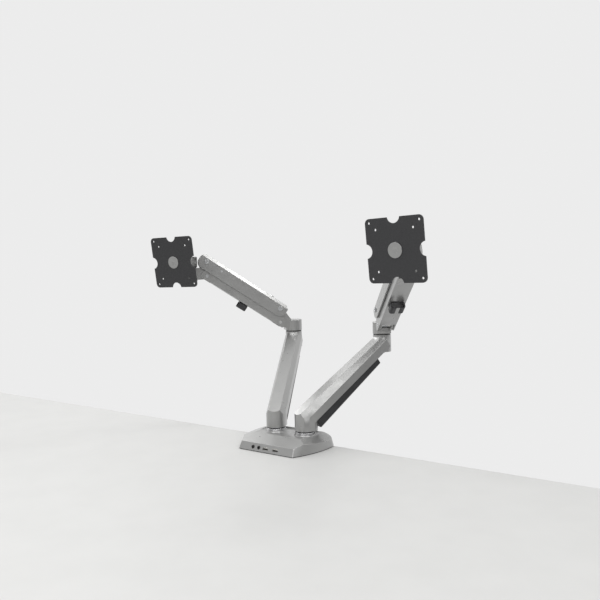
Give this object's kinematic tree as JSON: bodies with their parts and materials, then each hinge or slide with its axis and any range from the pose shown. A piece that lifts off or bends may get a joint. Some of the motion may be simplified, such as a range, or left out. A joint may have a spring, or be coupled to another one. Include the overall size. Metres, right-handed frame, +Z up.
{
  "type": "monitor arm",
  "caption": "Desk-clamped monitor arm with two gas-spring arms on a shared base with audio and data ports; swivel, lift, pan, tilt and turning heads.",
  "frame": {"origin": "on the desk surface, on the underside of the foot pad, midway between the two swivel posts", "axes": "+X along the desk edge, +Y away from the user, +Z up"},
  "size_m": [0.677, 0.3007, 0.5871],
  "materials": {
    "silver_paint": "satin silver-grey metallic paint",
    "zinc_steel": "zinc plated",
    "polished_steel": "ground and polished",
    "black_steel": "fine textured black powder coat",
    "black_plastic": "moulded, fine grain",
    "black_nylon": "moulded nylon",
    "rubber": "matt",
    "connector_metal": "nickel plated",
    "connector_plastic": "moulded",
    "socket_plastic": "moulded, off-white",
    "circuit_board": "solder mask"
  },
  "bodies": {
    "base": {"base_cover": "silver_paint", "base_plate": "zinc_steel", "foot_pad": "rubber", "base_screws": "zinc_steel", "hub_posts": "polished_steel", "base_rings": "black_nylon", "usb_shells": "connector_metal", "usb_tongues": "socket_plastic", "audio_jacks": "connector_plastic", "hub_circuit_board": "circuit_board", "cable_gland": "black_nylon", "clamp_bracket": "black_steel"},
    "clamp_pad": {"clamp_pad": "zinc_steel", "clamp_rubber": "rubber"},
    "clamp_spindle": {"clamp_screw": "zinc_steel", "clamp_knob": "black_plastic"},
    "left_lower_link": {"left_lower_link": "silver_paint", "left_lower_bush": "black_nylon", "left_cable_cover": "black_plastic", "left_elbow_post": "polished_steel", "left_elbow_ring": "black_nylon"},
    "left_shoulder": {"left_shoulder_block": "silver_paint", "left_shoulder_bush": "black_nylon", "left_shoulder_pins": "zinc_steel"},
    "left_upper_arm": {"left_upper_arm_shell": "silver_paint", "left_tension_screw": "zinc_steel", "left_spring_anchor_pin": "zinc_steel"},
    "left_spring_cylinder": {"left_gas_spring_cylinder": "black_steel"},
    "left_spring_rod": {"left_gas_spring_rod": "polished_steel"},
    "left_lower_channel": {"left_lower_channel": "silver_paint", "left_arm_cable_clip": "black_plastic"},
    "left_end_block": {"left_end_block": "silver_paint", "left_end_pins": "zinc_steel", "left_head_post": "polished_steel"},
    "left_head": {"left_head_neck": "silver_paint", "left_tilt_bolt": "black_steel"},
    "left_tilt": {"left_tilt_bracket": "silver_paint"},
    "left_plate": {"left_display_plate": "black_steel"},
    "right_lower_link": {"right_lower_link": "silver_paint", "right_lower_bush": "black_nylon", "right_cable_cover": "black_plastic", "right_elbow_post": "polished_steel", "right_elbow_ring": "black_nylon"},
    "right_shoulder": {"right_shoulder_block": "silver_paint", "right_shoulder_bush": "black_nylon", "right_shoulder_pins": "zinc_steel"},
    "right_upper_arm": {"right_upper_arm_shell": "silver_paint", "right_tension_screw": "zinc_steel", "right_spring_anchor_pin": "zinc_steel"},
    "right_spring_cylinder": {"right_gas_spring_cylinder": "black_steel"},
    "right_spring_rod": {"right_gas_spring_rod": "polished_steel"},
    "right_lower_channel": {"right_lower_channel": "silver_paint", "right_arm_cable_clip": "black_plastic"},
    "right_end_block": {"right_end_block": "silver_paint", "right_end_pins": "zinc_steel", "right_head_post": "polished_steel"},
    "right_head": {"right_head_neck": "silver_paint", "right_tilt_bolt": "black_steel"},
    "right_tilt": {"right_tilt_bracket": "silver_paint"},
    "right_plate": {"right_display_plate": "black_steel"}
  },
  "joints": [
    {"name": "clamp_lift", "type": "slide", "parent": "base", "child": "clamp_pad", "axis": [0, 0, 1], "range_m": [-0.031, 0.018]},
    {"name": "clamp_turn", "type": "hinge", "parent": "clamp_pad", "child": "clamp_spindle", "pos_m": [0, -0.012, -0.109], "axis": [0, 0, 1], "range_deg": [-5500, 3200]},
    {"name": "left_base_swivel", "type": "hinge", "parent": "base", "child": "left_lower_link", "pos_m": [-0.0373, 0, 0.0313], "axis": [0, 0, 1], "range_deg": [-50, 60]},
    {"name": "left_elbow_swivel", "type": "hinge", "parent": "left_lower_link", "child": "left_shoulder", "pos_m": [-0.11567, 0.1892, 0.2205], "axis": [0, 0, 1], "range_deg": [-80, 60]},
    {"name": "left_lift", "type": "hinge", "parent": "left_shoulder", "child": "left_upper_arm", "pos_m": [-0.1409, 0.16214, 0.2765], "axis": [-0.7314, 0.682, 0], "range_deg": [-60, 12]},
    {"name": "left_channel_swing", "type": "hinge", "parent": "left_shoulder", "child": "left_lower_channel", "pos_m": [-0.1409, 0.16214, 0.2425], "axis": [-0.7314, 0.682, 0], "range_deg": [-61, 13]},
    {"name": "left_spring_swing", "type": "hinge", "parent": "left_upper_arm", "child": "left_spring_cylinder", "pos_m": [-0.23589, 0.06028, 0.37044], "axis": [-0.7314, 0.682, 0], "range_deg": [-2, 4]},
    {"name": "left_spring_slide", "type": "slide", "parent": "left_spring_cylinder", "child": "left_spring_rod", "axis": [0.5392, 0.5783, -0.6122], "range_m": [-0.0165, 0.0045]},
    {"name": "left_end_level", "type": "hinge", "parent": "left_upper_arm", "child": "left_end_block", "pos_m": [-0.25964, 0.03481, 0.39393], "axis": [-0.7314, 0.682, 0], "range_deg": [-13, 61]},
    {"name": "left_head_pan", "type": "hinge", "parent": "left_end_block", "child": "left_head", "pos_m": [-0.28419, 0.00848, 0.38223], "axis": [0, 0, 1], "range_deg": [-110, 20]},
    {"name": "left_head_tilt", "type": "hinge", "parent": "left_head", "child": "left_tilt", "pos_m": [-0.27949, -0.02923, 0.39723], "axis": [-0.9923, -0.1236, 0], "range_deg": [-25, 65]},
    {"name": "left_plate_turn", "type": "hinge", "parent": "left_tilt", "child": "left_plate", "pos_m": [-0.27634, -0.05451, 0.3932], "axis": [0.1221, -0.9801, -0.1564], "range_deg": [-90, 90]},
    {"name": "right_base_swivel", "type": "hinge", "parent": "base", "child": "right_lower_link", "pos_m": [0.0373, 0, 0.0313], "axis": [0, 0, 1], "range_deg": [-60, 50]},
    {"name": "right_elbow_swivel", "type": "hinge", "parent": "right_lower_link", "child": "right_shoulder", "pos_m": [0.13027, 0.18247, 0.2205], "axis": [0, 0, 1], "range_deg": [-60, 80]},
    {"name": "right_lift", "type": "hinge", "parent": "right_shoulder", "child": "right_upper_arm", "pos_m": [0.1542, 0.15425, 0.2765], "axis": [-0.7627, -0.6468, 0], "range_deg": [-60, 12]},
    {"name": "right_channel_swing", "type": "hinge", "parent": "right_shoulder", "child": "right_lower_channel", "pos_m": [0.1542, 0.15425, 0.2425], "axis": [-0.7627, -0.6468, 0], "range_deg": [-61, 13]},
    {"name": "right_spring_swing", "type": "hinge", "parent": "right_upper_arm", "child": "right_spring_cylinder", "pos_m": [0.24429, 0.04803, 0.37044], "axis": [-0.7627, -0.6468, 0], "range_deg": [-2, 4]},
    {"name": "right_spring_slide", "type": "slide", "parent": "right_spring_cylinder", "child": "right_spring_rod", "axis": [-0.5114, 0.603, -0.6122], "range_m": [-0.0165, 0.0045]},
    {"name": "right_end_level", "type": "hinge", "parent": "right_upper_arm", "child": "right_end_block", "pos_m": [0.26681, 0.02147, 0.39393], "axis": [-0.7627, -0.6468, 0], "range_deg": [-13, 61]},
    {"name": "right_head_pan", "type": "hinge", "parent": "right_end_block", "child": "right_head", "pos_m": [0.29009, -0.00599, 0.38223], "axis": [0, 0, 1], "range_deg": [-20, 110]},
    {"name": "right_head_tilt", "type": "hinge", "parent": "right_head", "child": "right_tilt", "pos_m": [0.28625, -0.04379, 0.39723], "axis": [-0.9949, 0.1011, 0], "range_deg": [-25, 65]},
    {"name": "right_plate_turn", "type": "hinge", "parent": "right_tilt", "child": "right_plate", "pos_m": [0.28366, -0.0693, 0.39436], "axis": [-0.1004, -0.9887, -0.1115], "range_deg": [-90, 90]}
  ],
  "couplings": [
    {"joint": "clamp_lift", "follows": "clamp_turn", "m_per_rad": 0.00031831},
    {"joint": "left_channel_swing", "follows": "left_lift", "ratio": 1},
    {"joint": "left_spring_swing", "follows": "left_lift", "ratio": -0.045},
    {"joint": "left_spring_slide", "follows": "left_lift", "m_per_rad": 0.01475},
    {"joint": "left_end_level", "follows": "left_lift", "ratio": -1},
    {"joint": "right_channel_swing", "follows": "right_lift", "ratio": 1},
    {"joint": "right_spring_swing", "follows": "right_lift", "ratio": -0.045},
    {"joint": "right_spring_slide", "follows": "right_lift", "m_per_rad": 0.01475},
    {"joint": "right_end_level", "follows": "right_lift", "ratio": -1}
  ]
}
